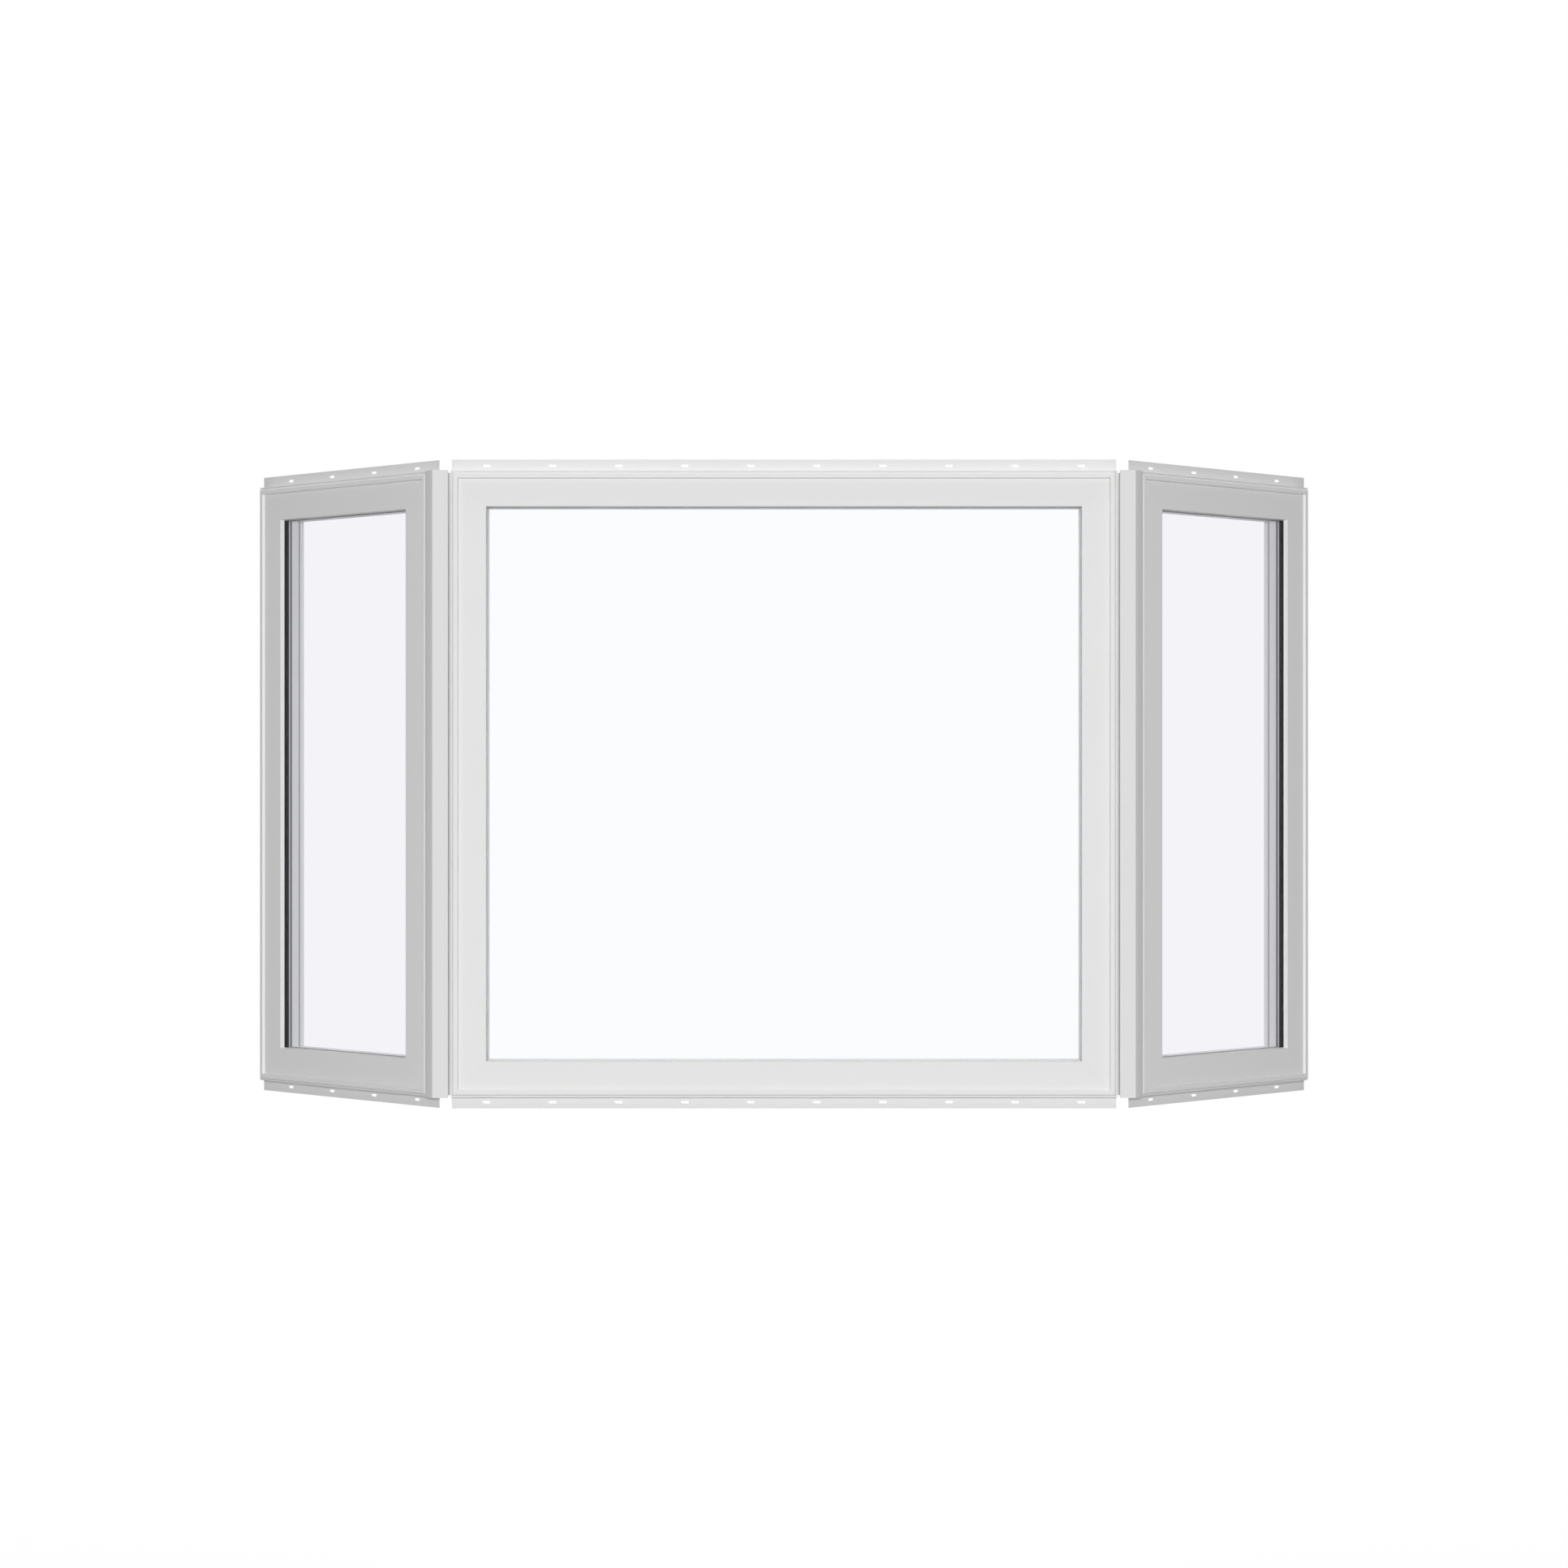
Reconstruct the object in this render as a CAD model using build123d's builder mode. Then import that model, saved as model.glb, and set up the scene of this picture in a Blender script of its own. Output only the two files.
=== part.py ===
"""A 45 degree bay window: a fixed centre unit with a casement unit on each side.

Row frame: +X to the right seen from outside, +Y into the building, +Z up.
The origin is on the back of the sill nail fin of the centre unit, on its slot line.
Every profile is drawn as (depth, inset): depth runs back from the rim of the unit,
inset runs from the outer edge of the unit towards its glass.
"""

import os
from math import cos, radians, sin, tan

from build123d import *

os.makedirs("parts", exist_ok=True)

# ---------------------------------------------------------------- driving sizes (mm, degrees)
unit_height = 1524.0
centre_width = 1622.0
side_width = 679.5
bay_angle = 45.0  # between the centre unit and a side unit

# frame profile
frame_depth = 78.5  # rim to interior face
groove_width = 4.6  # sloped outer edge
groove_depth = 4.4
shoulder_radius = 4.2  # round from the groove up to the lip
lip_height = 5.8  # the lip stands this far in front of the rim
lip_inset = 17.2  # inner edge of the lip
bevel_width = 2.8  # steep slope from the lip down to the sash
stop_thickness = 14.2  # interior stop behind the sash
stop_chamfer = 3.8
joint_inset = 32.0  # fine groove where the stop meets the frame on the interior face
joint_width = 1.6
joint_depth = 1.5
accessory_groove_width = 8.0  # two grooves behind the fin, all round the outer edge
accessory_groove_depth = 4.0
accessory_groove_starts = (45.0, 61.0)
edge_radius = 0.8

# sash profile
sash_depth = 59.8
sash_face_width = 66.4  # flat face from the bevel to the glazing slope
glazing_slope_width = 2.2
glazing_slope_depth = 11.6
glass_bite = 13.0  # the pocket is this deep behind the sight line

# sealed glass unit
pane_thickness = 4.0
pane_gap = 12.0
pane_edge_clearance = 1.0
gasket_thickness = 6.2  # between the inner pane and the sash
spacer_width = 8.0
spacer_setback = 2.0  # behind the sight line

# nail fins
fin_setback = 35.0  # rim to the front of the fin
fin_thickness = 2.0
fin_width = 30.0
slot_inset = 15.0  # slot line to the outer edge of the frame
slot_length = 20.0
slot_width = 6.7
slot_margin = 85.0  # end of a frame side to the first slot
slot_pitch = 165.0  # nearest even pitch is used

# mull post and its outside cover
mull_apex_depth = 81.0  # rim to the line where the planes of two jambs meet
mull_body_depth = 60.0  # fills the wedge to just behind the rims
mull_post_end_gap = 4.0  # the post stops short of the head and the sill
mull_front_slope = 17.0  # the front of the body falls back towards the web
mull_web_thickness = 6.0
mull_flange_width = 25.0
mull_flange_thickness = 3.0
cover_reach = 110.3  # apex line to the ridge of the cover
cover_leg_length = 38.7
cover_leg_tilt = 34.0
cover_leg_bulge = 1.3
cover_wall = 5.0
cover_end_radius = 2.0
cover_boss_width = 16.0
cover_boss_depth = 9.0

# inside hardware of a casement
crank_offset = 190.0  # hinge side of the frame to the middle of the crank base
crank_base_length = 112.0
crank_base_height = 30.0
crank_base_depth = 15.0
crank_base_taper = 14.0
crank_base_corner = 5.0
crank_arm_length = 92.0
crank_arm_height = 13.0
crank_arm_depth = 9.0
crank_hub_radius = 9.0
crank_hub_rise = 3.0
crank_knob_radius = 5.0
crank_knob_length = 20.0
lock_plate_length = 84.0
lock_plate_width = 24.0
lock_plate_depth = 6.0
lock_lever_length = 96.0
lock_lever_width = 15.0
lock_lever_depth = 10.0
lock_hub_radius = 10.0
lock_hub_depth = 8.0
hardware_edge_radius = 1.5
hardware_inset = 46.0  # outer edge of the frame to the middle of the hardware

# ---------------------------------------------------------------- worked out from them
half_angle = radians(bay_angle / 2)
sash_inset = lip_inset + bevel_width
sight_inset = sash_inset + sash_face_width + glazing_slope_width
stop_front = frame_depth - stop_thickness
pocket_inset = sight_inset - glass_bite
pane_inset = pocket_inset + pane_edge_clearance
inner_pane_depth = glazing_slope_depth + pane_thickness + pane_gap
glass_unit_back = inner_pane_depth + pane_thickness
bead_front = glass_unit_back + gasket_thickness
spacer_inner_inset = sight_inset - spacer_setback
fin_back = fin_setback + fin_thickness
corner_gap = mull_apex_depth - frame_depth


def heading(angle):
    """Depth direction of a unit turned by this angle from the centre one."""
    return Vector(sin(radians(angle)), cos(radians(angle)), 0)


# ---------------------------------------------------------------- where each unit stands
# A unit's plane sits at the bottom middle of its rim: x along the unit, y into the building.
centre_plane = Plane((0, -fin_back, slot_inset), x_dir=(1, 0, 0), z_dir=(0, 0, 1))


def apex(side):
    """Bottom of the line where the outer planes of two neighbouring jambs meet."""
    return centre_plane.from_local_coords(
        Vector(side * centre_width / 2, mull_apex_depth, 0)
    )


def side_plane(side):
    """Plane of the side unit on the left (-1) or on the right (+1)."""
    inward = heading(-side * bay_angle)
    along = inward.cross(Vector(0, 0, 1))
    near_corner = apex(side) - inward * mull_apex_depth
    middle = near_corner + along * (side * side_width / 2)
    return Plane(middle, x_dir=along, z_dir=(0, 0, 1))


units = {
    "left": (side_plane(-1), side_width),
    "centre": (centre_plane, centre_width),
    "right": (side_plane(1), side_width),
}


def edge_planes(plane, width):
    """Start plane and length of the four sides of a unit, for (depth, inset) profiles."""
    along, inward, up = plane.x_dir, plane.y_dir, plane.z_dir

    def corner(x, z):
        return plane.from_local_coords(Vector(x, 0, z))

    half = width / 2
    return {
        "bottom": (Plane(corner(-half, 0), x_dir=inward, z_dir=along), width),
        "top": (Plane(corner(half, unit_height), x_dir=inward, z_dir=-along), width),
        "left": (Plane(corner(-half, unit_height), x_dir=inward, z_dir=-up), unit_height),
        "right": (Plane(corner(half, 0), x_dir=inward, z_dir=up), unit_height),
    }


def finish(piece, name):
    """Labels a finished piece and writes it."""
    piece.part.label = name
    export_step(piece.part, f"parts/{name}.step")


# ---------------------------------------------------------------- profiles
def corners(section, *spots):
    """The corners of a section that lie at these places."""
    return [section.vertices().sort_by_distance(Vector(*spot))[0] for spot in spots]


def frame_section():
    """Grooved rim, raised lip, bevel down to the sash, and the stop behind the sash."""
    shoulder_depth = shoulder_radius - lip_height
    shoulder_inset = groove_width + shoulder_radius
    joint_end = joint_inset + joint_width
    joint_floor = frame_depth - joint_depth
    outer_edge = []
    for start in reversed(accessory_groove_starts):
        end = start + accessory_groove_width
        outer_edge += [(end, 0), (end, accessory_groove_depth)]
        outer_edge += [(start, accessory_groove_depth), (start, 0)]
    with BuildSketch() as section:
        with BuildLine():
            Polyline((0, 0), (groove_depth, groove_width), (shoulder_depth, groove_width))
            TangentArc(
                (shoulder_depth, groove_width),
                (-lip_height, shoulder_inset),
                tangent=(-1, 0),
            )
            Polyline(
                (-lip_height, shoulder_inset),
                (-lip_height, lip_inset),
                (0, sash_inset),
                (stop_front, sash_inset),
                (stop_front, sight_inset),
                (frame_depth - stop_chamfer, sight_inset),
                (frame_depth, sight_inset - stop_chamfer),
                (frame_depth, joint_end),
                (joint_floor, joint_end),
                (joint_floor, joint_inset),
                (frame_depth, joint_inset),
                (frame_depth, 0),
                *outer_edge,
                (0, 0),
            )
        make_face()
        rounded = corners(
            section,
            (-lip_height, lip_inset),
            (stop_front, sight_inset),
            (frame_depth - stop_chamfer, sight_inset),
            (frame_depth, sight_inset - stop_chamfer),
            (frame_depth, 0),
        )
        fillet(rounded, radius=edge_radius)
    return section.sketch


def sash_section():
    """Flat face, slope to the glass, pocket for the glass unit and the bead behind it."""
    face_end = sash_inset + sash_face_width
    with BuildSketch() as section:
        with BuildLine():
            Polyline(
                (0, sash_inset),
                (0, face_end),
                (glazing_slope_depth, sight_inset),
                (glazing_slope_depth, pocket_inset),
                (bead_front, pocket_inset),
                (bead_front, sight_inset),
                (sash_depth, sight_inset),
                (sash_depth, sash_inset),
                close=True,
            )
        make_face()
        rounded = corners(
            section,
            (0, face_end),
            (glazing_slope_depth, sight_inset),
            (bead_front, sight_inset),
            (sash_depth, sight_inset),
        )
        fillet(rounded, radius=edge_radius)
    return section.sketch


def mitred_side(start, length, section):
    """One side of a frame or a sash: its profile run along the side, mitred at both ends."""
    first_mitre = Plane(start.origin, x_dir=start.x_dir, z_dir=start.z_dir - start.y_dir)
    last_mitre = Plane(
        start.origin + start.z_dir * length,
        x_dir=start.x_dir,
        z_dir=-start.z_dir - start.y_dir,
    )
    with BuildPart() as bar:
        with BuildSketch(start):
            add(section)
        extrude(amount=length)
        split(bisect_by=first_mitre, keep=Keep.TOP)
        split(bisect_by=last_mitre, keep=Keep.TOP)
    return bar


# ---------------------------------------------------------------- frames and sashes
frame_profile = frame_section()
sash_profile = sash_section()
frame_names = {"top": "head", "bottom": "sill"}
sash_names = {"top": "top_rail", "bottom": "bottom_rail"}
upright_names = {
    "left": {"left": "outer", "right": "inner"},
    "centre": {"left": "left", "right": "right"},
    "right": {"left": "inner", "right": "outer"},
}

for unit, (plane, width) in units.items():
    for edge, (start, length) in edge_planes(plane, width).items():
        upright = upright_names[unit].get(edge)
        frame_side = frame_names.get(edge) or f"{upright}_jamb"
        sash_side = sash_names.get(edge) or f"{upright}_stile"
        finish(mitred_side(start, length, frame_profile), f"{unit}_frame_{frame_side}")
        finish(mitred_side(start, length, sash_profile), f"{unit}_sash_{sash_side}")


# ---------------------------------------------------------------- sealed glass units
def face_plane(plane, depth):
    """Plane parallel to a unit's face, seen from outside, centred on the unit."""
    middle = plane.from_local_coords(Vector(0, depth, unit_height / 2))
    return Plane(middle, x_dir=plane.x_dir, z_dir=-plane.y_dir)


for unit, (plane, width) in units.items():
    with BuildPart() as glass:
        for back in (glazing_slope_depth + pane_thickness, glass_unit_back):
            with BuildSketch(face_plane(plane, back)):
                Rectangle(width - 2 * pane_inset, unit_height - 2 * pane_inset)
            extrude(amount=pane_thickness)
    finish(glass, f"{unit}_glass")

with BuildPart() as spacers:
    for plane, width in units.values():
        with BuildSketch(face_plane(plane, inner_pane_depth)):
            outer_inset = spacer_inner_inset - spacer_width
            Rectangle(width - 2 * outer_inset, unit_height - 2 * outer_inset)
            Rectangle(
                width - 2 * spacer_inner_inset,
                unit_height - 2 * spacer_inner_inset,
                mode=Mode.SUBTRACT,
            )
        extrude(amount=pane_gap)
finish(spacers, "glass_spacers")


# ---------------------------------------------------------------- nail fins
def slot_places(length):
    """Slots along a side of this length, evenly spaced between the two end margins."""
    run = length - 2 * slot_margin
    steps = max(1, round(run / slot_pitch))
    return [-run / 2 + run / steps * step for step in range(steps + 1)]


def head_or_sill_fin(plane, width, up, outer_side):
    """Fin along the head (up = 1) or sill (up = -1), run past the jamb on its outer side."""
    height = up * (unit_height / 2 + fin_width / 2)
    slot_height = up * (unit_height / 2 + slot_inset)
    overrun = fin_width * abs(outer_side)
    with BuildPart() as fin:
        with BuildSketch(face_plane(plane, fin_back)):
            with Locations((outer_side * fin_width / 2, height)):
                Rectangle(width + overrun, fin_width)
            with Locations(*[(x, slot_height) for x in slot_places(width)]):
                SlotOverall(slot_length, slot_width, mode=Mode.SUBTRACT)
        extrude(amount=fin_thickness)
    return fin


def side_fin(plane, width, outer_side):
    """Upright fin on the outer jamb of a side unit, between the head and sill fins."""
    middle = outer_side * (width / 2 + fin_width / 2)
    slot_x = outer_side * (width / 2 + slot_inset)
    with BuildPart() as fin:
        with BuildSketch(face_plane(plane, fin_back)):
            with Locations((middle, 0)):
                Rectangle(fin_width, unit_height)
            with Locations(*[(slot_x, z) for z in slot_places(unit_height)]):
                SlotOverall(slot_length, slot_width, rotation=90, mode=Mode.SUBTRACT)
        extrude(amount=fin_thickness)
    return fin


outer_sides = {"left": -1, "centre": 0, "right": 1}
for unit, (plane, width) in units.items():
    outer_side = outer_sides[unit]
    finish(head_or_sill_fin(plane, width, 1, outer_side), f"{unit}_head_nail_fin")
    finish(head_or_sill_fin(plane, width, -1, outer_side), f"{unit}_sill_nail_fin")
    if outer_side:
        finish(side_fin(plane, width, outer_side), f"{unit}_side_nail_fin")


# ---------------------------------------------------------------- mull posts and covers
# Plan of a corner: x runs from the apex line forwards between the two units.
def corner_plane(side):
    forwards = -heading(-side * bay_angle / 2)
    return Plane(apex(side), x_dir=forwards, z_dir=(0, 0, 1))


def on_jamb(distance, aside=0.0):
    """Point at this distance from the apex along a jamb, moved aside into the unit."""
    return (
        distance * cos(half_angle) - aside * sin(half_angle),
        distance * sin(half_angle) + aside * cos(half_angle),
    )


post_front = corner_gap * cos(half_angle) + mull_body_depth
post_half_width = post_front * tan(half_angle)
web_half = mull_web_thickness / 2
web_root = post_front - (post_half_width - web_half) * tan(radians(mull_front_slope))
flange_back = corner_gap - mull_flange_thickness
tilt = radians(cover_leg_tilt)
cover_back = cover_reach - cover_wall / cos(tilt) - cover_boss_depth
cover_tip = (
    cover_reach - cover_leg_length * sin(tilt),
    cover_leg_length * cos(tilt),
)
cover_tip_inside = (
    cover_tip[0] - cover_wall * cos(tilt),
    cover_tip[1] - cover_wall * sin(tilt),
)
boss_half = cover_boss_width / 2
boss_root = (cover_reach - cover_wall / cos(tilt) - boss_half * tan(tilt), boss_half)


def mull_post(side):
    """Wedge between two jambs, a web out to the cover, and flanges on the inside faces."""
    with BuildPart() as post:
        with BuildSketch(corner_plane(side).offset(mull_post_end_gap)):
            with BuildLine():
                Polyline(
                    (flange_back / cos(half_angle), 0),
                    on_jamb(flange_back, mull_flange_width),
                    on_jamb(corner_gap, mull_flange_width),
                    on_jamb(corner_gap),
                    (post_front, post_half_width),
                    (web_root, web_half),
                    (cover_back, web_half),
                    (cover_back, 0),
                )
                mirror(about=Plane.XZ)
            make_face()
        extrude(amount=unit_height - 2 * mull_post_end_gap)
    return post


def mull_cover(side):
    """V-shaped nose with gently bowed legs and a boss that sits on the post's web."""
    with BuildPart() as cover:
        with BuildSketch(corner_plane(side)):
            with BuildLine():
                SagittaArc((cover_reach, 0), cover_tip, -cover_leg_bulge)
                Polyline(
                    cover_tip,
                    cover_tip_inside,
                    boss_root,
                    (cover_back, boss_half),
                    (cover_back, 0),
                )
                mirror(about=Plane.XZ)
            make_face()
        extrude(amount=unit_height)
        tips = [edge for edge in cover.edges().filter_by(Axis.Z) if is_tip(edge, side)]
        fillet(tips, radius=cover_end_radius)
    return cover


def is_tip(edge, side):
    """Whether an upright edge of the cover is an end of one of its legs."""
    spot = corner_plane(side).to_local_coords(edge.center())
    return abs(abs(spot.Y) - cover_tip[1]) < 0.01 and abs(spot.X - cover_tip[0]) < 0.01


for name, side in (("left", -1), ("right", 1)):
    finish(mull_post(side), f"{name}_mull_post")
    finish(mull_cover(side), f"{name}_mull_cover")


# ---------------------------------------------------------------- casement hardware
def inside_plane(plane, x, z):
    """Plane on the interior face of a unit, facing the room."""
    spot = plane.from_local_coords(Vector(x, frame_depth, z))
    return Plane(spot, x_dir=-plane.x_dir, z_dir=plane.y_dir)


def rim_edges(piece, base, height):
    """Edges of a piece that lie at one height over the base plane."""

    def at_height(edge):
        heights = [base.to_local_coords(v.center()).Z for v in edge.vertices()]
        return all(abs(h - height) < 0.001 for h in heights)

    return [edge for edge in piece.edges() if at_height(edge)]


def crank_operator(plane, width, outer_side):
    """Tapered base on the sill, a hub, and the arm folded flat with its knob."""
    x = outer_side * (width / 2 - crank_offset)
    base = inside_plane(plane, x, hardware_inset)
    end_x = outer_side * (crank_arm_length - crank_arm_height) / 2
    arm_top = crank_base_depth + crank_arm_depth
    with BuildPart() as crank:
        with BuildSketch(base):
            RectangleRounded(crank_base_length, crank_base_height, crank_base_corner)
        extrude(amount=crank_base_depth, taper=crank_base_taper)
        fillet(rim_edges(crank, base, crank_base_depth), radius=hardware_edge_radius)
        with BuildSketch(base.offset(crank_base_depth)):
            SlotOverall(crank_arm_length, crank_arm_height)
        extrude(amount=crank_arm_depth)
        fillet(rim_edges(crank, base, arm_top), radius=hardware_edge_radius)
        with BuildSketch(base.offset(crank_base_depth)):
            with Locations((-end_x, 0)):
                Circle(crank_hub_radius)
        extrude(amount=crank_arm_depth + crank_hub_rise)
        hub_top = rim_edges(crank, base, arm_top + crank_hub_rise)
        fillet(hub_top, radius=hardware_edge_radius)
        with BuildSketch(base.offset(arm_top)):
            with Locations((end_x, 0)):
                Circle(crank_knob_radius)
        extrude(amount=crank_knob_length)
        knob_top = rim_edges(crank, base, arm_top + crank_knob_length)
        fillet(knob_top, radius=hardware_edge_radius)
    return crank


def lock_handle(plane, width, outer_side):
    """Plate on the inner jamb with a hub and a lever that points down when locked."""
    x = -outer_side * (width / 2 - hardware_inset)
    plate = inside_plane(plane, x, unit_height / 2)
    lever_back = lock_plate_depth + lock_hub_depth
    lever_y = -(lock_lever_length - lock_lever_width) / 2
    with BuildPart() as lock:
        with BuildSketch(plate):
            RectangleRounded(lock_plate_width, lock_plate_length, crank_base_corner)
        extrude(amount=lock_plate_depth)
        fillet(rim_edges(lock, plate, lock_plate_depth), radius=hardware_edge_radius)
        with BuildSketch(plate.offset(lock_plate_depth)):
            Circle(lock_hub_radius)
        extrude(amount=lock_hub_depth)
        with BuildSketch(plate.offset(lever_back)):
            with Locations((0, lever_y)):
                SlotOverall(lock_lever_length, lock_lever_width, rotation=90)
        extrude(amount=lock_lever_depth)
        lever_top = rim_edges(lock, plate, lever_back + lock_lever_depth)
        fillet(lever_top, radius=hardware_edge_radius)
    return lock


for unit in ("left", "right"):
    plane, width = units[unit]
    finish(crank_operator(plane, width, outer_sides[unit]), f"{unit}_crank_operator")
    finish(lock_handle(plane, width, outer_sides[unit]), f"{unit}_lock_handle")
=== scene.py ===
"""The looks of the bay window: camera, materials, thin trims, screw heads and studio.

Blender works in metres. The profile sizes below are in millimetres, as in the part: depth runs
back from the rim of a unit, and inset runs from its outer edge towards the glass.
"""
import math

import bmesh
import bpy
from mathutils import Matrix, Vector


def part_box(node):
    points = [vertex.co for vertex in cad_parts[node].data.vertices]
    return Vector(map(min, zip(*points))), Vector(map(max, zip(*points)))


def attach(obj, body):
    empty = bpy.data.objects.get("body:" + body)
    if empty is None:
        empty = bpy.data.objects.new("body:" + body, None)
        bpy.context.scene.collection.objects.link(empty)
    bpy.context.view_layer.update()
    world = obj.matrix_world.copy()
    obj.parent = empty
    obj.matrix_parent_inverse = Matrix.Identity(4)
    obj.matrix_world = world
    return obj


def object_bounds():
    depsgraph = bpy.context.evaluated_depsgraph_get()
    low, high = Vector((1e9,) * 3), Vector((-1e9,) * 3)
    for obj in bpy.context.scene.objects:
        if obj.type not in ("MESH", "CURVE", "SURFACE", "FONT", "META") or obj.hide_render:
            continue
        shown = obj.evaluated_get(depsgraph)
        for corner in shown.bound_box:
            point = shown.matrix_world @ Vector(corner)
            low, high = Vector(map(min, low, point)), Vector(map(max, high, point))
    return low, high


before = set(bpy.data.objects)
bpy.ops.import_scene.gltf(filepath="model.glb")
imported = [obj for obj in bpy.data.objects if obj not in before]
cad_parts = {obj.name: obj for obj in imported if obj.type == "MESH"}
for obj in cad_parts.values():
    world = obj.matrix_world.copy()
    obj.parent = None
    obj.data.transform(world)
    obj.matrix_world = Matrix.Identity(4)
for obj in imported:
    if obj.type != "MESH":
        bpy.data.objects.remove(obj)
cad_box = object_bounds()
scene = bpy.context.scene
MM = 0.001

# ---------------------------------------------------------------- sizes shared with the part (mm)
UNIT_HEIGHT = 1524.0
CENTRE_WIDTH = 1622.0
SIDE_WIDTH = 679.5
BAY_ANGLE = 45.0
FIN_BACK = 37.0  # rim to the back of the nail fins, where y is 0
SLOT_INSET = 15.0  # outer edge to the slot line, where z is 0
APEX_DEPTH = 81.0  # rim to the line where the planes of two jambs meet
FRAME_DEPTH = 78.5
STOP_THICKNESS = 14.2
SASH_DEPTH = 59.8
SIGHT_INSET = 88.6
PANE_BITE = 12.0  # the panes reach this far behind the sight line
GLASS_FRONT = 11.6
PANE_THICKNESS = 4.0
PANE_GAP = 12.0
GASKET_SPACE = 6.2  # between the inner pane and the sash
HARDWARE_INSET = 46.0
LOCK_PLATE_DEPTH = 6.0
FLANGE_THICKNESS = 3.0

stop_front = FRAME_DEPTH - STOP_THICKNESS
pane_inset = SIGHT_INSET - PANE_BITE
glass_back = GLASS_FRONT + 2 * PANE_THICKNESS + PANE_GAP
bead_front = glass_back + GASKET_SPACE

frame_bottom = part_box("centre_frame_sill")[0].z
frame_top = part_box("centre_frame_head")[1].z
fin_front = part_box("centre_head_nail_fin")[0].y
window_middle = (frame_bottom + frame_top) / 2

# ---------------------------------------------------------------- camera
CAMERA_DISTANCE = 8.6346  # metres, to the front of the nail fins
LENS = 81.19
SENSOR = 36.0

camera_data = bpy.data.cameras.new("camera")
camera_data.lens = LENS
camera_data.sensor_width = SENSOR
camera = bpy.data.objects.new("camera", camera_data)
camera.location = (0, fin_front - CAMERA_DISTANCE, window_middle)
camera.rotation_euler = (math.radians(90), 0, 0)
scene.collection.objects.link(camera)
scene.camera = camera


# ---------------------------------------------------------------- where each unit stands
class Unit:
    """A window unit: its width in mm, and its place, in metres.

    The origin is the bottom middle of the rim, with x along the unit and y into the building.
    """

    def __init__(self, side):
        self.turn = math.radians(-side * BAY_ANGLE)
        self.width = SIDE_WIDTH if side else CENTRE_WIDTH
        inward = Vector((math.sin(self.turn), math.cos(self.turn), 0))
        along = Vector((inward.y, -inward.x, 0))
        place = Vector((0, -FIN_BACK, SLOT_INSET))
        if side:
            apex = place + Vector((side * CENTRE_WIDTH / 2, APEX_DEPTH, 0))
            place = apex - inward * APEX_DEPTH + along * (side * SIDE_WIDTH / 2)
        self.origin = place * MM
        self.matrix = Matrix.Translation(self.origin) @ Matrix.Rotation(-self.turn, 4, "Z")

    def corner(self, side, end, depth, inset):
        """A point at this depth and inset, in the corner on side -1 or 1 and at end -1 or 1."""
        x = side * (self.width / 2 - inset)
        z = UNIT_HEIGHT / 2 + end * (UNIT_HEIGHT / 2 - inset)
        return self.matrix @ Vector((x * MM, depth * MM, z * MM))


UNITS = {"left": Unit(-1), "centre": Unit(0), "right": Unit(1)}


# ---------------------------------------------------------------- node helpers
MIX_FACTOR = 0  # sockets of a Mix node that works on colours
MIX_A = 6
MIX_B = 7
MIX_RESULT = 2
NOISE_RANGE = (0.3, 0.7)  # nearly all values of a noise lie in it


class Tree:
    """Short calls for building a material's or the world's nodes."""

    def __init__(self, tree):
        self.tree = tree

    def add(self, kind, inputs=None, **settings):
        node = self.tree.nodes.new(kind)
        for key, value in settings.items():
            setattr(node, key, value)
        for key, value in (inputs or {}).items():
            if isinstance(value, bpy.types.NodeSocket):
                self.tree.links.new(value, node.inputs[key])
            else:
                node.inputs[key].default_value = value
        return node

    def math(self, operation, first, second=0.0):
        node = self.add("ShaderNodeMath", {0: first, 1: second}, operation=operation)
        return node.outputs[0]

    def remap(self, value, low, high, to_low, to_high):
        inputs = {"Value": value, "From Min": low, "From Max": high}
        inputs.update({"To Min": to_low, "To Max": to_high})
        return self.add("ShaderNodeMapRange", inputs).outputs["Result"]

    def noise(self, vector, scale, detail=2.0):
        inputs = {"Vector": vector, "Scale": scale, "Detail": detail}
        return self.add("ShaderNodeTexNoise", inputs).outputs["Fac"]

    def stretched(self, vector, scale):
        inputs = {"Vector": vector, "Scale": scale}
        return self.add("ShaderNodeMapping", inputs).outputs["Vector"]

    def tint(self, factor, dark, light):
        """The colour from dark to light; either is a red, green, blue tuple or a colour socket."""
        inputs = {MIX_FACTOR: factor}
        for key, colour in ((MIX_A, dark), (MIX_B, light)):
            is_socket = isinstance(colour, bpy.types.NodeSocket)
            inputs[key] = colour if is_socket else (*colour, 1)
        return self.add("ShaderNodeMix", inputs, data_type="RGBA").outputs[MIX_RESULT]

    def bump(self, height, strength, distance):
        inputs = {"Height": height, "Strength": strength, "Distance": distance}
        return self.add("ShaderNodeBump", inputs).outputs["Normal"]

    def sight_ray(self):
        """1 for camera, glossy and transmission rays, and 0 for light on a matt surface."""
        path = self.add("ShaderNodeLightPath").outputs
        seen = self.math("MAXIMUM", path["Is Camera Ray"], path["Is Glossy Ray"])
        return self.math("MAXIMUM", seen, path["Is Transmission Ray"])


def new_material(name):
    material = bpy.data.materials.new(name)
    material.use_nodes = True
    shader = material.node_tree.nodes["Principled BSDF"]
    return material, Tree(material.node_tree), shader


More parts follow.
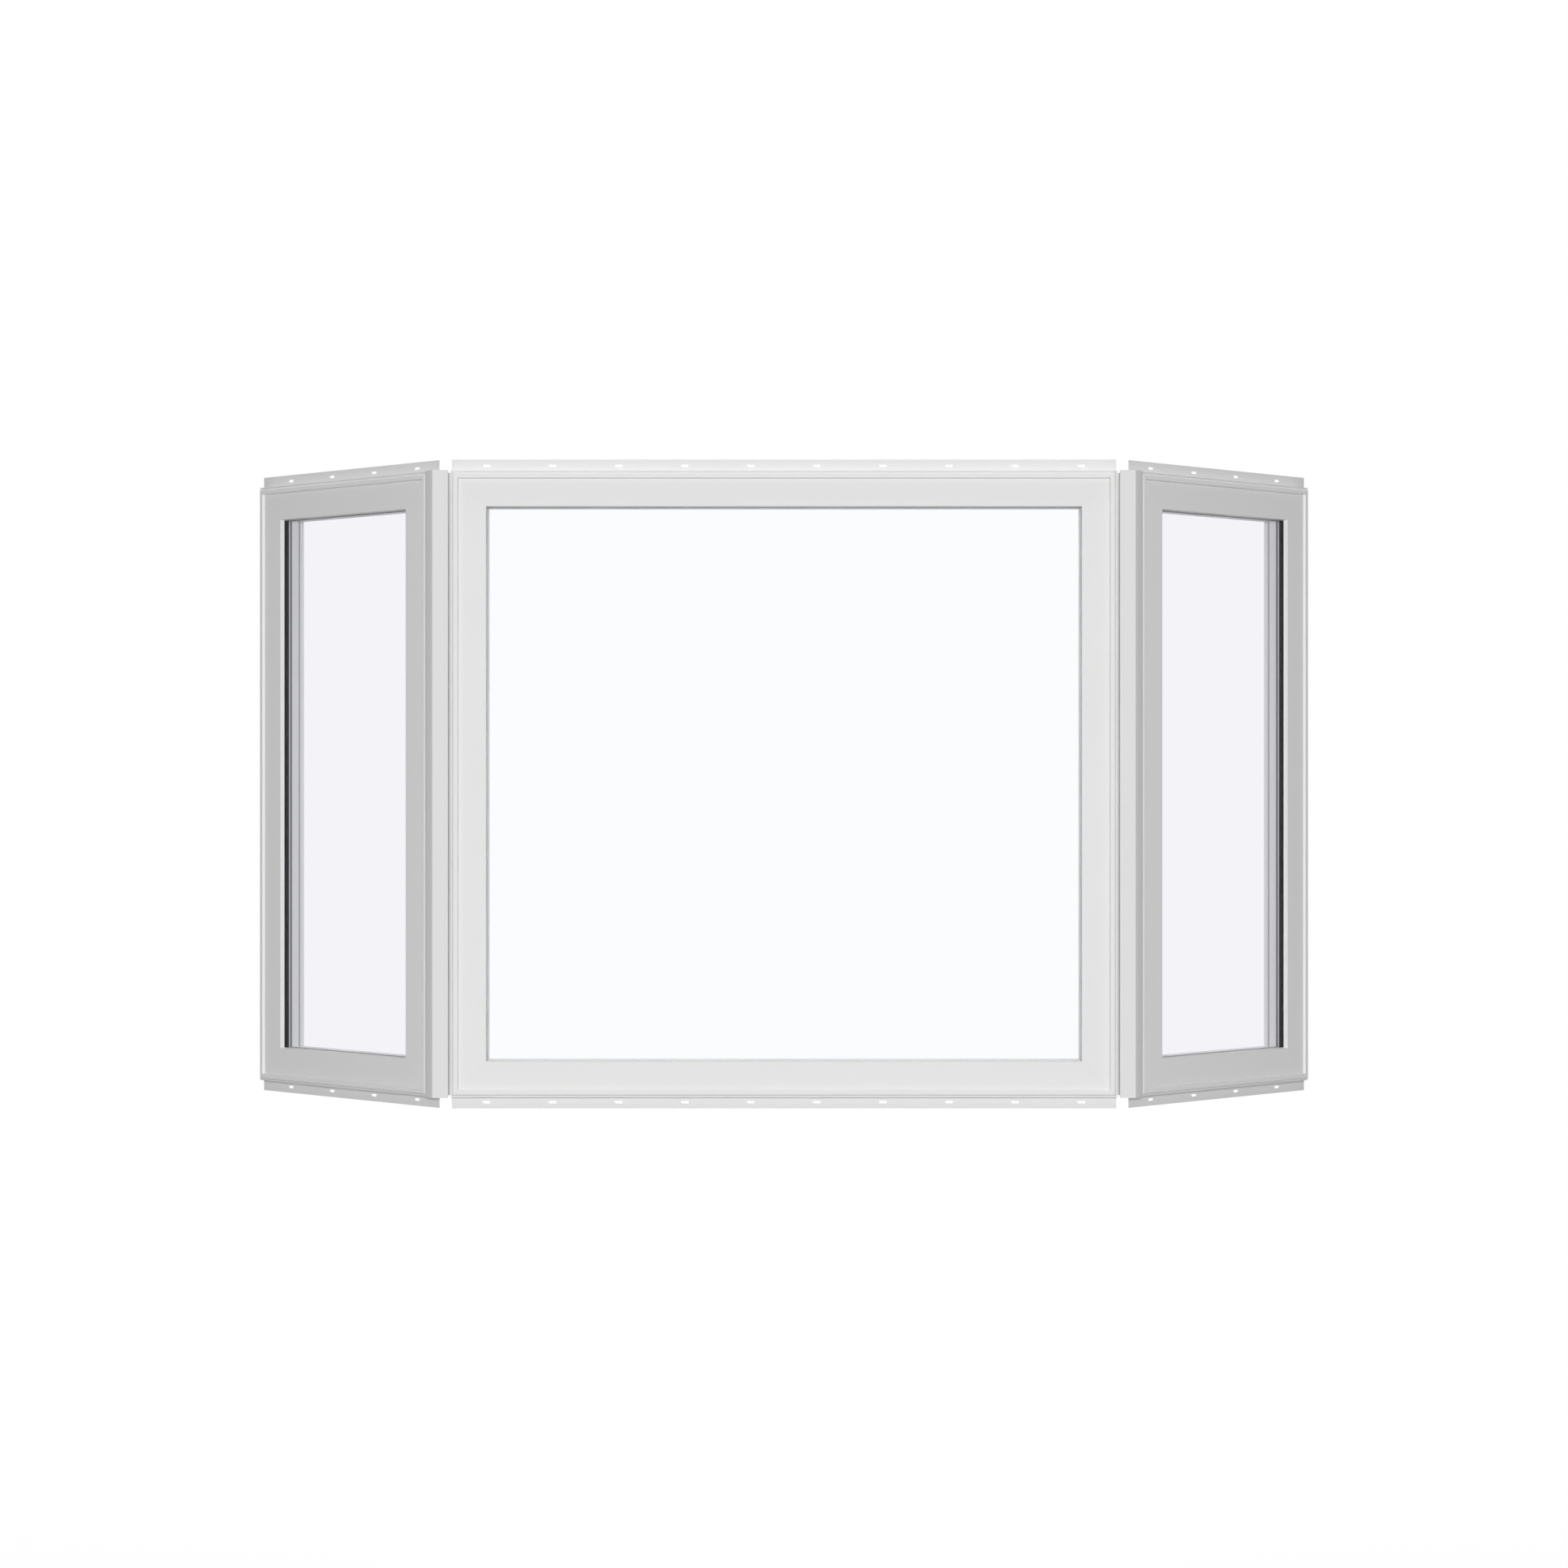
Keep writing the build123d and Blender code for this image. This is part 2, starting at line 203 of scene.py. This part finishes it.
# ---------------------------------------------------------------- white PVC
PVC_LIGHT = (0.815, 0.815, 0.812)
PVC_DARK = (0.785, 0.785, 0.782)
PVC_ROUGHNESS = 0.34
FIN_ROUGHNESS = 0.5
ROUGHNESS_SPREAD = 0.05
PVC_IOR = 1.45
SOFT_GLOSS = 0.3  # specular level of plastics and paint
STREAK = {"level": (0.6, 900.0, 900.0), "upright": (900.0, 900.0, 0.6)}  # noise scales in x, y, z
STREAK_HEIGHT = 0.5
CLOUD_SCALE = 7.0
SKIN_SCALE = 2400.0
SKIN_DETAIL = 3.0
SKIN_HEIGHT = 0.35
PVC_BUMP = 0.25
PVC_BUMP_DEPTH = 0.00008  # metres
SEAM_HALF_WIDTH = 0.9  # mm, where two mitred sides are welded
SEAM_COLOUR = (0.42, 0.42, 0.42)
SEAM_STRENGTH = 0.22
SEAM_HEIGHT = 2.0


def weld_seam(t, unit, place):
    """1 on the mitre lines of a unit and 0 away from them."""
    inputs = {"Vector": place, "Location": unit.origin, "Rotation": (0, 0, -unit.turn)}
    local = t.add("ShaderNodeMapping", inputs, vector_type="TEXTURE").outputs["Vector"]
    axes = t.add("ShaderNodeSeparateXYZ", {0: local}).outputs
    middle = UNIT_HEIGHT * MM / 2
    across = t.math("ABSOLUTE", axes["X"])
    up = t.math("ABSOLUTE", t.math("SUBTRACT", axes["Z"], middle))
    inset_across = t.math("SUBTRACT", unit.width * MM / 2, across)
    inset_up = t.math("SUBTRACT", middle, up)
    away = t.math("ABSOLUTE", t.math("SUBTRACT", inset_across, inset_up))
    return t.remap(away, 0.0, SEAM_HALF_WIDTH * MM, 1.0, 0.0)


def pvc(name, run, roughness=PVC_ROUGHNESS, unit=None, shade=1.0):
    """Extruded PVC: faint streaks along the run, a fine skin, and weld seams on a unit."""
    material, t, shader = new_material(name)
    place = t.add("ShaderNodeTexCoord").outputs["Object"]
    if unit and unit.turn:
        inputs = {"Vector": place, "Rotation": (0, 0, unit.turn)}
        turned = t.add("ShaderNodeMapping", inputs).outputs["Vector"]
    else:
        turned = place
    streak = t.noise(t.stretched(turned, STREAK[run]), 1.0)
    cloud = t.noise(place, CLOUD_SCALE)
    skin = t.noise(place, SKIN_SCALE, SKIN_DETAIL)
    mix = t.math("MULTIPLY", t.math("ADD", streak, cloud), 0.5)
    # shade darkens both tones; the fins and the mull covers use it for painted shade
    dark, light = [[shade * c for c in tone] for tone in (PVC_DARK, PVC_LIGHT)]
    colour = t.tint(mix, dark, light)
    streak_height = t.math("MULTIPLY", streak, STREAK_HEIGHT)
    height = t.math("ADD", streak_height, t.math("MULTIPLY", skin, SKIN_HEIGHT))
    if unit:
        seam = weld_seam(t, unit, place)
        colour = t.tint(t.math("MULTIPLY", seam, SEAM_STRENGTH), colour, SEAM_COLOUR)
        height = t.math("SUBTRACT", height, t.math("MULTIPLY", seam, SEAM_HEIGHT))
    t.tree.links.new(colour, shader.inputs["Base Color"])
    low, high = roughness - ROUGHNESS_SPREAD, roughness + ROUGHNESS_SPREAD
    t.tree.links.new(t.remap(cloud, *NOISE_RANGE, low, high), shader.inputs["Roughness"])
    t.tree.links.new(t.bump(height, PVC_BUMP, PVC_BUMP_DEPTH), shader.inputs["Normal"])
    shader.inputs["IOR"].default_value = PVC_IOR
    shader.inputs["Specular IOR Level"].default_value = SOFT_GLOSS
    return material


FIN_PAINTED_SHADE = 0.94  # painted shade: a fin catches light from the frame's top face, so its paint is made a little darker to hide that light
COVER_PAINTED_SHADE = 0.94  # painted shade: the mull covers' paint is made slightly greyer than the frames', for the darker shade they show
pvc_materials = {}
for unit_name, unit in UNITS.items():
    for run in STREAK:
        pvc_materials[unit_name, run] = pvc(f"white_pvc_{unit_name}_{run}", run, unit=unit)
fin_painted_shade_materials = {
    run: pvc(f"white_pvc_fin_painted_shade_{run}", run, FIN_ROUGHNESS, shade=FIN_PAINTED_SHADE) for run in STREAK
}
post_pvc = pvc("white_pvc_mull_post", "upright")
cover_pvc_painted_shade = pvc("white_pvc_mull_cover_painted_shade", "upright", shade=COVER_PAINTED_SHADE)


# ---------------------------------------------------------------- other materials
MOULDED_SPREAD = 0.06
MOULDED_BUMP = 0.3
CLOUD_TO_GRAIN = 40  # the colour clouds are this many times larger than the grain
GRAIN_DETAIL = 4.0
SCREW_METALLIC = 0.9


def moulded(name, dark, light, roughness, grain, depth, gloss=SOFT_GLOSS):
    """Moulded or painted surface: slight colour clouding and a fine grain, depth in metres."""
    material, t, shader = new_material(name)
    place = t.add("ShaderNodeTexCoord").outputs["Object"]
    fine = t.noise(place, grain, GRAIN_DETAIL)
    cloud = t.noise(place, grain / CLOUD_TO_GRAIN)
    t.tree.links.new(t.tint(cloud, dark, light), shader.inputs["Base Color"])
    low, high = roughness - MOULDED_SPREAD, roughness + MOULDED_SPREAD
    t.tree.links.new(t.remap(fine, *NOISE_RANGE, low, high), shader.inputs["Roughness"])
    t.tree.links.new(t.bump(fine, MOULDED_BUMP, depth), shader.inputs["Normal"])
    shader.inputs["Specular IOR Level"].default_value = gloss
    return material


hardware_paint = moulded(
    "hardware_paint", (0.77, 0.77, 0.76), (0.80, 0.80, 0.79), roughness=0.32, grain=1500, depth=0.00005
)
spacer_black = moulded(
    "spacer_black",
    (0.008, 0.008, 0.010),
    (0.015, 0.015, 0.018),
    roughness=0.6,
    grain=1200,
    depth=0.00008,
    gloss=0.08,
)
gasket_rubber = moulded(
    "gasket_rubber",
    (0.012, 0.012, 0.013),
    (0.022, 0.022, 0.024),
    roughness=0.6,
    grain=1800,
    depth=0.00006,
    gloss=0.15,
)
seal_grey = moulded(
    "seal_grey", (0.23, 0.23, 0.23), (0.28, 0.28, 0.28), roughness=0.7, grain=1500, depth=0.00008
)
tape_grey = moulded(
    "tape_grey", (0.58, 0.58, 0.58), (0.66, 0.66, 0.66), roughness=0.75, grain=1300, depth=0.0001
)
screw_zinc = moulded(
    "screw_zinc", (0.50, 0.50, 0.51), (0.62, 0.62, 0.63), roughness=0.3, grain=900, depth=0.00004
)
screw_zinc.node_tree.nodes["Principled BSDF"].inputs["Metallic"].default_value = SCREW_METALLIC

GLASS_IOR = 1.2  # lower than real glass, so that the dark spacer stays dark behind it
CENTRE_TINT = (0.979, 0.986, 0.995)
# painted shade: the side panes' tint is the glass's own slight tint made darker and bluer than the
# centre panes', for the shade their turn gives them
SIDE_TINT_PAINTED_SHADE = (0.950, 0.950, 0.969)
CENTRE_THROUGH = 0.93  # share of lamp light that passes each face of a pane
SIDE_THROUGH = 0.90
FILM_SCALE = 3.0
FILM_RANGE = (0.35, 0.65)
FILM_ROUGHNESS = 0.004


def clear_glass(name, tint, through):
    """Float glass that lets lamp light straight through."""
    material, t, shader = new_material(name)
    shader.inputs["Base Color"].default_value = (*tint, 1)
    shader.inputs["IOR"].default_value = GLASS_IOR
    shader.inputs["Transmission Weight"].default_value = 1.0
    place = t.add("ShaderNodeTexCoord").outputs["Object"]
    film = t.remap(t.noise(place, FILM_SCALE), *FILM_RANGE, 0.0, FILM_ROUGHNESS)
    t.tree.links.new(film, shader.inputs["Roughness"])
    inputs = {"Color": (through, through, through, 1)}
    clear = t.add("ShaderNodeBsdfTransparent", inputs).outputs["BSDF"]
    shadow = t.add("ShaderNodeLightPath").outputs["Is Shadow Ray"]
    inputs = {"Fac": shadow, 1: shader.outputs["BSDF"], 2: clear}
    mix = t.add("ShaderNodeMixShader", inputs).outputs["Shader"]
    t.tree.links.new(mix, t.tree.nodes["Material Output"].inputs["Surface"])
    return material


centre_glass = clear_glass("clear_glass_centre", CENTRE_TINT, CENTRE_THROUGH)
side_glass_painted_shade = clear_glass("clear_glass_side_painted_shade", SIDE_TINT_PAINTED_SHADE, SIDE_THROUGH)


def dress(name):
    """The material of a node of the part."""
    unit_name = name.split("_")[0]
    level = name.endswith(("head", "sill", "rail", "head_nail_fin", "sill_nail_fin"))
    run = "level" if level else "upright"
    if name == "glass_spacers":
        return spacer_black
    if name.endswith("_glass"):
        return centre_glass if unit_name == "centre" else side_glass_painted_shade
    if name.endswith("nail_fin"):
        return fin_painted_shade_materials[run]
    if name.endswith(("crank_operator", "lock_handle")):
        return hardware_paint
    if name.endswith("mull_post"):
        return post_pvc
    if name.endswith("mull_cover"):
        return cover_pvc_painted_shade
    return pvc_materials[unit_name, run]


for name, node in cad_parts.items():
    node.data.materials.clear()
    node.data.materials.append(dress(name))


# ---------------------------------------------------------------- added trims
def add_piece(name, mesh, material, slot):
    piece = bpy.data.objects.new(name, mesh)
    scene.collection.objects.link(piece)
    mesh.materials.append(material)
    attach(piece, "root")


def to_mesh(form, name):
    """The bmesh as a mesh, with its faces turned outwards."""
    bmesh.ops.recalc_face_normals(form, faces=form.faces)
    mesh = bpy.data.meshes.new(name)
    form.to_mesh(mesh)
    form.free()
    return mesh


def ring_mesh(name, unit, section):
    """A closed (depth, inset) section run round a unit, mitred in its four corners."""
    form = bmesh.new()
    spots = [(-1, -1), (1, -1), (1, 1), (-1, 1)]
    loops = []
    for side, end in spots:
        points = [unit.corner(side, end, depth, inset) for depth, inset in section]
        loops.append([form.verts.new(point) for point in points])
    for here, there in zip(loops, loops[1:] + loops[:1]):
        for i in range(len(section)):
            j = (i + 1) % len(section)
            form.faces.new((here[i], here[j], there[j], there[i]))
    return to_mesh(form, name)


def arc(depth, inset, radius, start, end, steps=6):
    """Points of an arc in a (depth, inset) section; angles in degrees from the depth axis."""
    turns = [math.radians(start + (end - start) * i / steps) for i in range(steps + 1)]
    return [(depth + radius * math.cos(a), inset + radius * math.sin(a)) for a in turns]


# a lip is measured past the sight line, so a negative one ends short of it
GASKET_FRONT = 34.4  # tape in front of it, sash behind it
GASKET_LIP = {"left": -0.1, "centre": -2.4, "right": -0.1}
TAPE_LIP = -0.5  # past the gasket's lip
SEAL_LIP = -0.8
CLEAR = 0.05  # between a strip and its neighbour
SEAL_REACH = 12.0  # from the sight line to the root of the seal, between sash and stop
POCKET_REACH = 2.0  # from the edge of the panes to the root of tape and gasket


def strip_section(front, back, lip, root):
    """Flat strip from its root to a rounded lip, which stands this far past the sight line."""
    half = (back - front) / 2
    rounded = arc((front + back) / 2, SIGHT_INSET + lip - half, half, 180, 0)
    return [(front, root), *rounded, (back, root)]


trim_looks = {
    "glazing_tape": (tape_grey, "white_pvc"),
    "glazing_gasket": (gasket_rubber, "black_spacer"),
    "weather_seal": (seal_grey, "black_spacer"),
}
glass_root = pane_inset + POCKET_REACH
sash_root = SIGHT_INSET - SEAL_REACH
for unit_name, unit in UNITS.items():
    lip = GASKET_LIP[unit_name]
    sections = {
        "glazing_tape": (glass_back + CLEAR, GASKET_FRONT - CLEAR, lip + TAPE_LIP, glass_root),
        "glazing_gasket": (GASKET_FRONT, bead_front - CLEAR, lip, glass_root),
        "weather_seal": (SASH_DEPTH + CLEAR, stop_front - CLEAR, SEAL_LIP, sash_root),
    }
    for kind, sizes in sections.items():
        name = f"{unit_name}_{kind}"
        mesh = ring_mesh(name, unit, strip_section(*sizes))
        add_piece(name, mesh, *trim_looks[kind])


# ---------------------------------------------------------------- screw heads on the room side
SCREW_SIDES = 48
SCREW_RADIUS = 4.2
SCREW_RISE = 1.8
SCREW_RINGS = (0.5, 1.0, 1.5, 2.0, 2.4, 2.7, 3.2, 3.7, 4.0, SCREW_RADIUS)  # radii of its mesh
SHARP_ANGLE = 40.0
CROSS_REACH = 2.5
CROSS_HALF_WIDTH = 0.45
CROSS_DEPTH = 1.0
FLANGE_SCREW_INSET = 14.0
FLANGE_SCREW_MARGIN = 102.0  # end of a unit to the first screw
FLANGE_SCREWS = 6
LOCK_SCREW_OFFSET = 32.0  # from the middle of the lock plate


def head_rise(across, up):
    """Height of a domed head with a cross recess, at this place on it."""
    reach = math.hypot(across, up)
    dome = SCREW_RISE * math.sqrt(max(0.0, 1 - (reach / SCREW_RADIUS) ** 2))
    in_cross = reach < CROSS_REACH and min(abs(across), abs(up)) < CROSS_HALF_WIDTH
    return dome - CROSS_DEPTH if in_cross else dome


def add_screw_head(form, unit, x, depth, z):
    """A screw head that faces the room, with its middle at x, depth and z of a unit, in mm."""

    def point(across, up):
        spot = Vector((x + across, depth + head_rise(across, up), z + up))
        return form.verts.new(unit.matrix @ (spot * MM))

    turns = [2 * math.pi * i / SCREW_SIDES for i in range(SCREW_SIDES)]
    rings = [[point(r * math.cos(a), r * math.sin(a)) for a in turns] for r in SCREW_RINGS]
    centre = point(0, 0)
    for i in range(SCREW_SIDES):
        j = (i + 1) % SCREW_SIDES
        form.faces.new((centre, rings[0][i], rings[0][j]))
        for inner, outer in zip(rings, rings[1:]):
            form.faces.new((inner[i], outer[i], outer[j], inner[j]))
    form.faces.new(rings[-1])


def add_screws(name, places):
    """One piece of screw heads, one at each (unit, x, depth, z)."""
    form = bmesh.new()
    for place in places:
        add_screw_head(form, *place)
    mesh = to_mesh(form, name)
    mesh.polygons.foreach_set("use_smooth", [True] * len(mesh.polygons))
    mesh.set_sharp_from_angle(angle=math.radians(SHARP_ANGLE))
    add_piece(name, mesh, screw_zinc, "white_hardware")


flange_run = UNIT_HEIGHT - 2 * FLANGE_SCREW_MARGIN
flange_heights = [
    FLANGE_SCREW_MARGIN + flange_run * i / (FLANGE_SCREWS - 1) for i in range(FLANGE_SCREWS)
]
flange_back = FRAME_DEPTH + FLANGE_THICKNESS
lock_face = FRAME_DEPTH + LOCK_PLATE_DEPTH
for unit_name, side in (("left", -1), ("right", 1)):
    flanges = ((UNITS["centre"], side), (UNITS[unit_name], -side))
    places = [
        (unit, end * (unit.width / 2 - FLANGE_SCREW_INSET), flange_back, height)
        for unit, end in flanges
        for height in flange_heights
    ]
    add_screws(f"{unit_name}_mull_screws", places)
    lock_x = -side * (SIDE_WIDTH / 2 - HARDWARE_INSET)
    places = [
        (UNITS[unit_name], lock_x, lock_face, UNIT_HEIGHT / 2 + offset)
        for offset in (-LOCK_SCREW_OFFSET, LOCK_SCREW_OFFSET)
    ]
    add_screws(f"{unit_name}_lock_screws", places)


# ---------------------------------------------------------------- studio
FLOOR_RADIUS = 3.4
FLOOR_SIDES = 96
FLOOR_DROP = 1.30  # from the lowest point of the window
FLOOR_PAINT = 0.30
FLOOR_ROUGHNESS = 0.9
FILL_NEAR = 0.78  # white added to the lit floor for the camera, so a shadow still shows on it
FILL_REACH = (1.1, 3.0)  # between these the floor fades to the plain white of the room
WORLD_FRONT = 0.02
WORLD_REAR = 0.62
WORLD_TURN = (0.0, 0.5)  # its light grows over this range of a direction's y


def floor_paint():
    """Matt paint that looks white, shows the shadow near the window and fades into the world."""
    material, t, shader = new_material("floor_paint")
    shader.inputs["Base Color"].default_value = (FLOOR_PAINT, FLOOR_PAINT, FLOOR_PAINT, 1)
    shader.inputs["Roughness"].default_value = FLOOR_ROUGHNESS
    shader.inputs["Specular IOR Level"].default_value = 0.0
    place = t.add("ShaderNodeNewGeometry").outputs["Position"]
    flat = t.add("ShaderNodeVectorMath", {0: place, 1: (1, 1, 0)}, operation="MULTIPLY")
    reach = t.add("ShaderNodeVectorMath", {0: flat.outputs[0]}, operation="LENGTH")
    seen = t.sight_ray()
    far = t.remap(reach.outputs["Value"], *FILL_REACH, 0.0, 1.0)
    fill = t.math("MULTIPLY", seen, FILL_NEAR)
    glow = t.add("ShaderNodeEmission", {"Strength": fill}).outputs[0]
    near = t.add("ShaderNodeAddShader", {0: shader.outputs["BSDF"], 1: glow}).outputs[0]
    white = t.add("ShaderNodeEmission", {"Strength": 1.0}).outputs[0]
    inputs = {"Fac": t.math("MULTIPLY", seen, far), 1: near, 2: white}
    surface = t.add("ShaderNodeMixShader", inputs).outputs["Shader"]
    t.tree.links.new(surface, t.tree.nodes["Material Output"].inputs["Surface"])
    return material


def add_floor():
    z = cad_box[0][2] - FLOOR_DROP
    turns = [2 * math.pi * i / FLOOR_SIDES for i in range(FLOOR_SIDES)]
    rim = [(FLOOR_RADIUS * math.cos(a), FLOOR_RADIUS * math.sin(a), z) for a in turns]
    mesh = bpy.data.meshes.new("floor")
    mesh.from_pydata(rim, [], [tuple(range(FLOOR_SIDES))])
    mesh.materials.append(floor_paint())
    floor = bpy.data.objects.new("floor", mesh)
    scene.collection.objects.link(floor)


def studio_world():
    """White to look at; as a light it is weak in front of the window and soft behind it."""
    world = bpy.data.worlds.new("studio")
    world.use_nodes = True
    t = Tree(world.node_tree)
    background = world.node_tree.nodes["Background"]
    background.inputs["Color"].default_value = (1, 1, 1, 1)
    direction = t.add("ShaderNodeTexCoord").outputs["Generated"]
    rearward = t.add("ShaderNodeSeparateXYZ", {0: direction}).outputs["Y"]
    lit = t.remap(rearward, *WORLD_TURN, WORLD_FRONT, WORLD_REAR)
    strength = t.math("MAXIMUM", lit, t.sight_ray())
    t.tree.links.new(strength, background.inputs["Strength"])
    return world


def add_lamp(name, place, width, depth, power, glints=False):
    """A soft rectangular lamp that looks at the middle of the window."""
    lamp_data = bpy.data.lights.new(name, "AREA")
    lamp_data.shape = "RECTANGLE"
    lamp_data.size = width
    lamp_data.size_y = depth
    lamp_data.energy = power
    lamp = bpy.data.objects.new(name, lamp_data)
    lamp.location = place
    aim = Vector((0, 0, window_middle)) - Vector(place)
    lamp.rotation_euler = aim.to_track_quat("-Z", "Y").to_euler()
    lamp.visible_glossy = glints
    lamp.visible_transmission = False
    scene.collection.objects.link(lamp)


add_floor()
scene.world = studio_world()
add_lamp("front_lamp", (0, -14, window_middle + 0.9), width=2.0, depth=2.0, power=1720)
# the top lamp glints on the bevels that face up
add_lamp("top_lamp", (0, -0.8, 11.0), width=4.0, depth=0.8, power=330, glints=True)
add_lamp("rear_lamp", (0, 8, window_middle + 1.5), width=2.5, depth=2.5, power=190)
scene.view_settings.view_transform = "Standard"
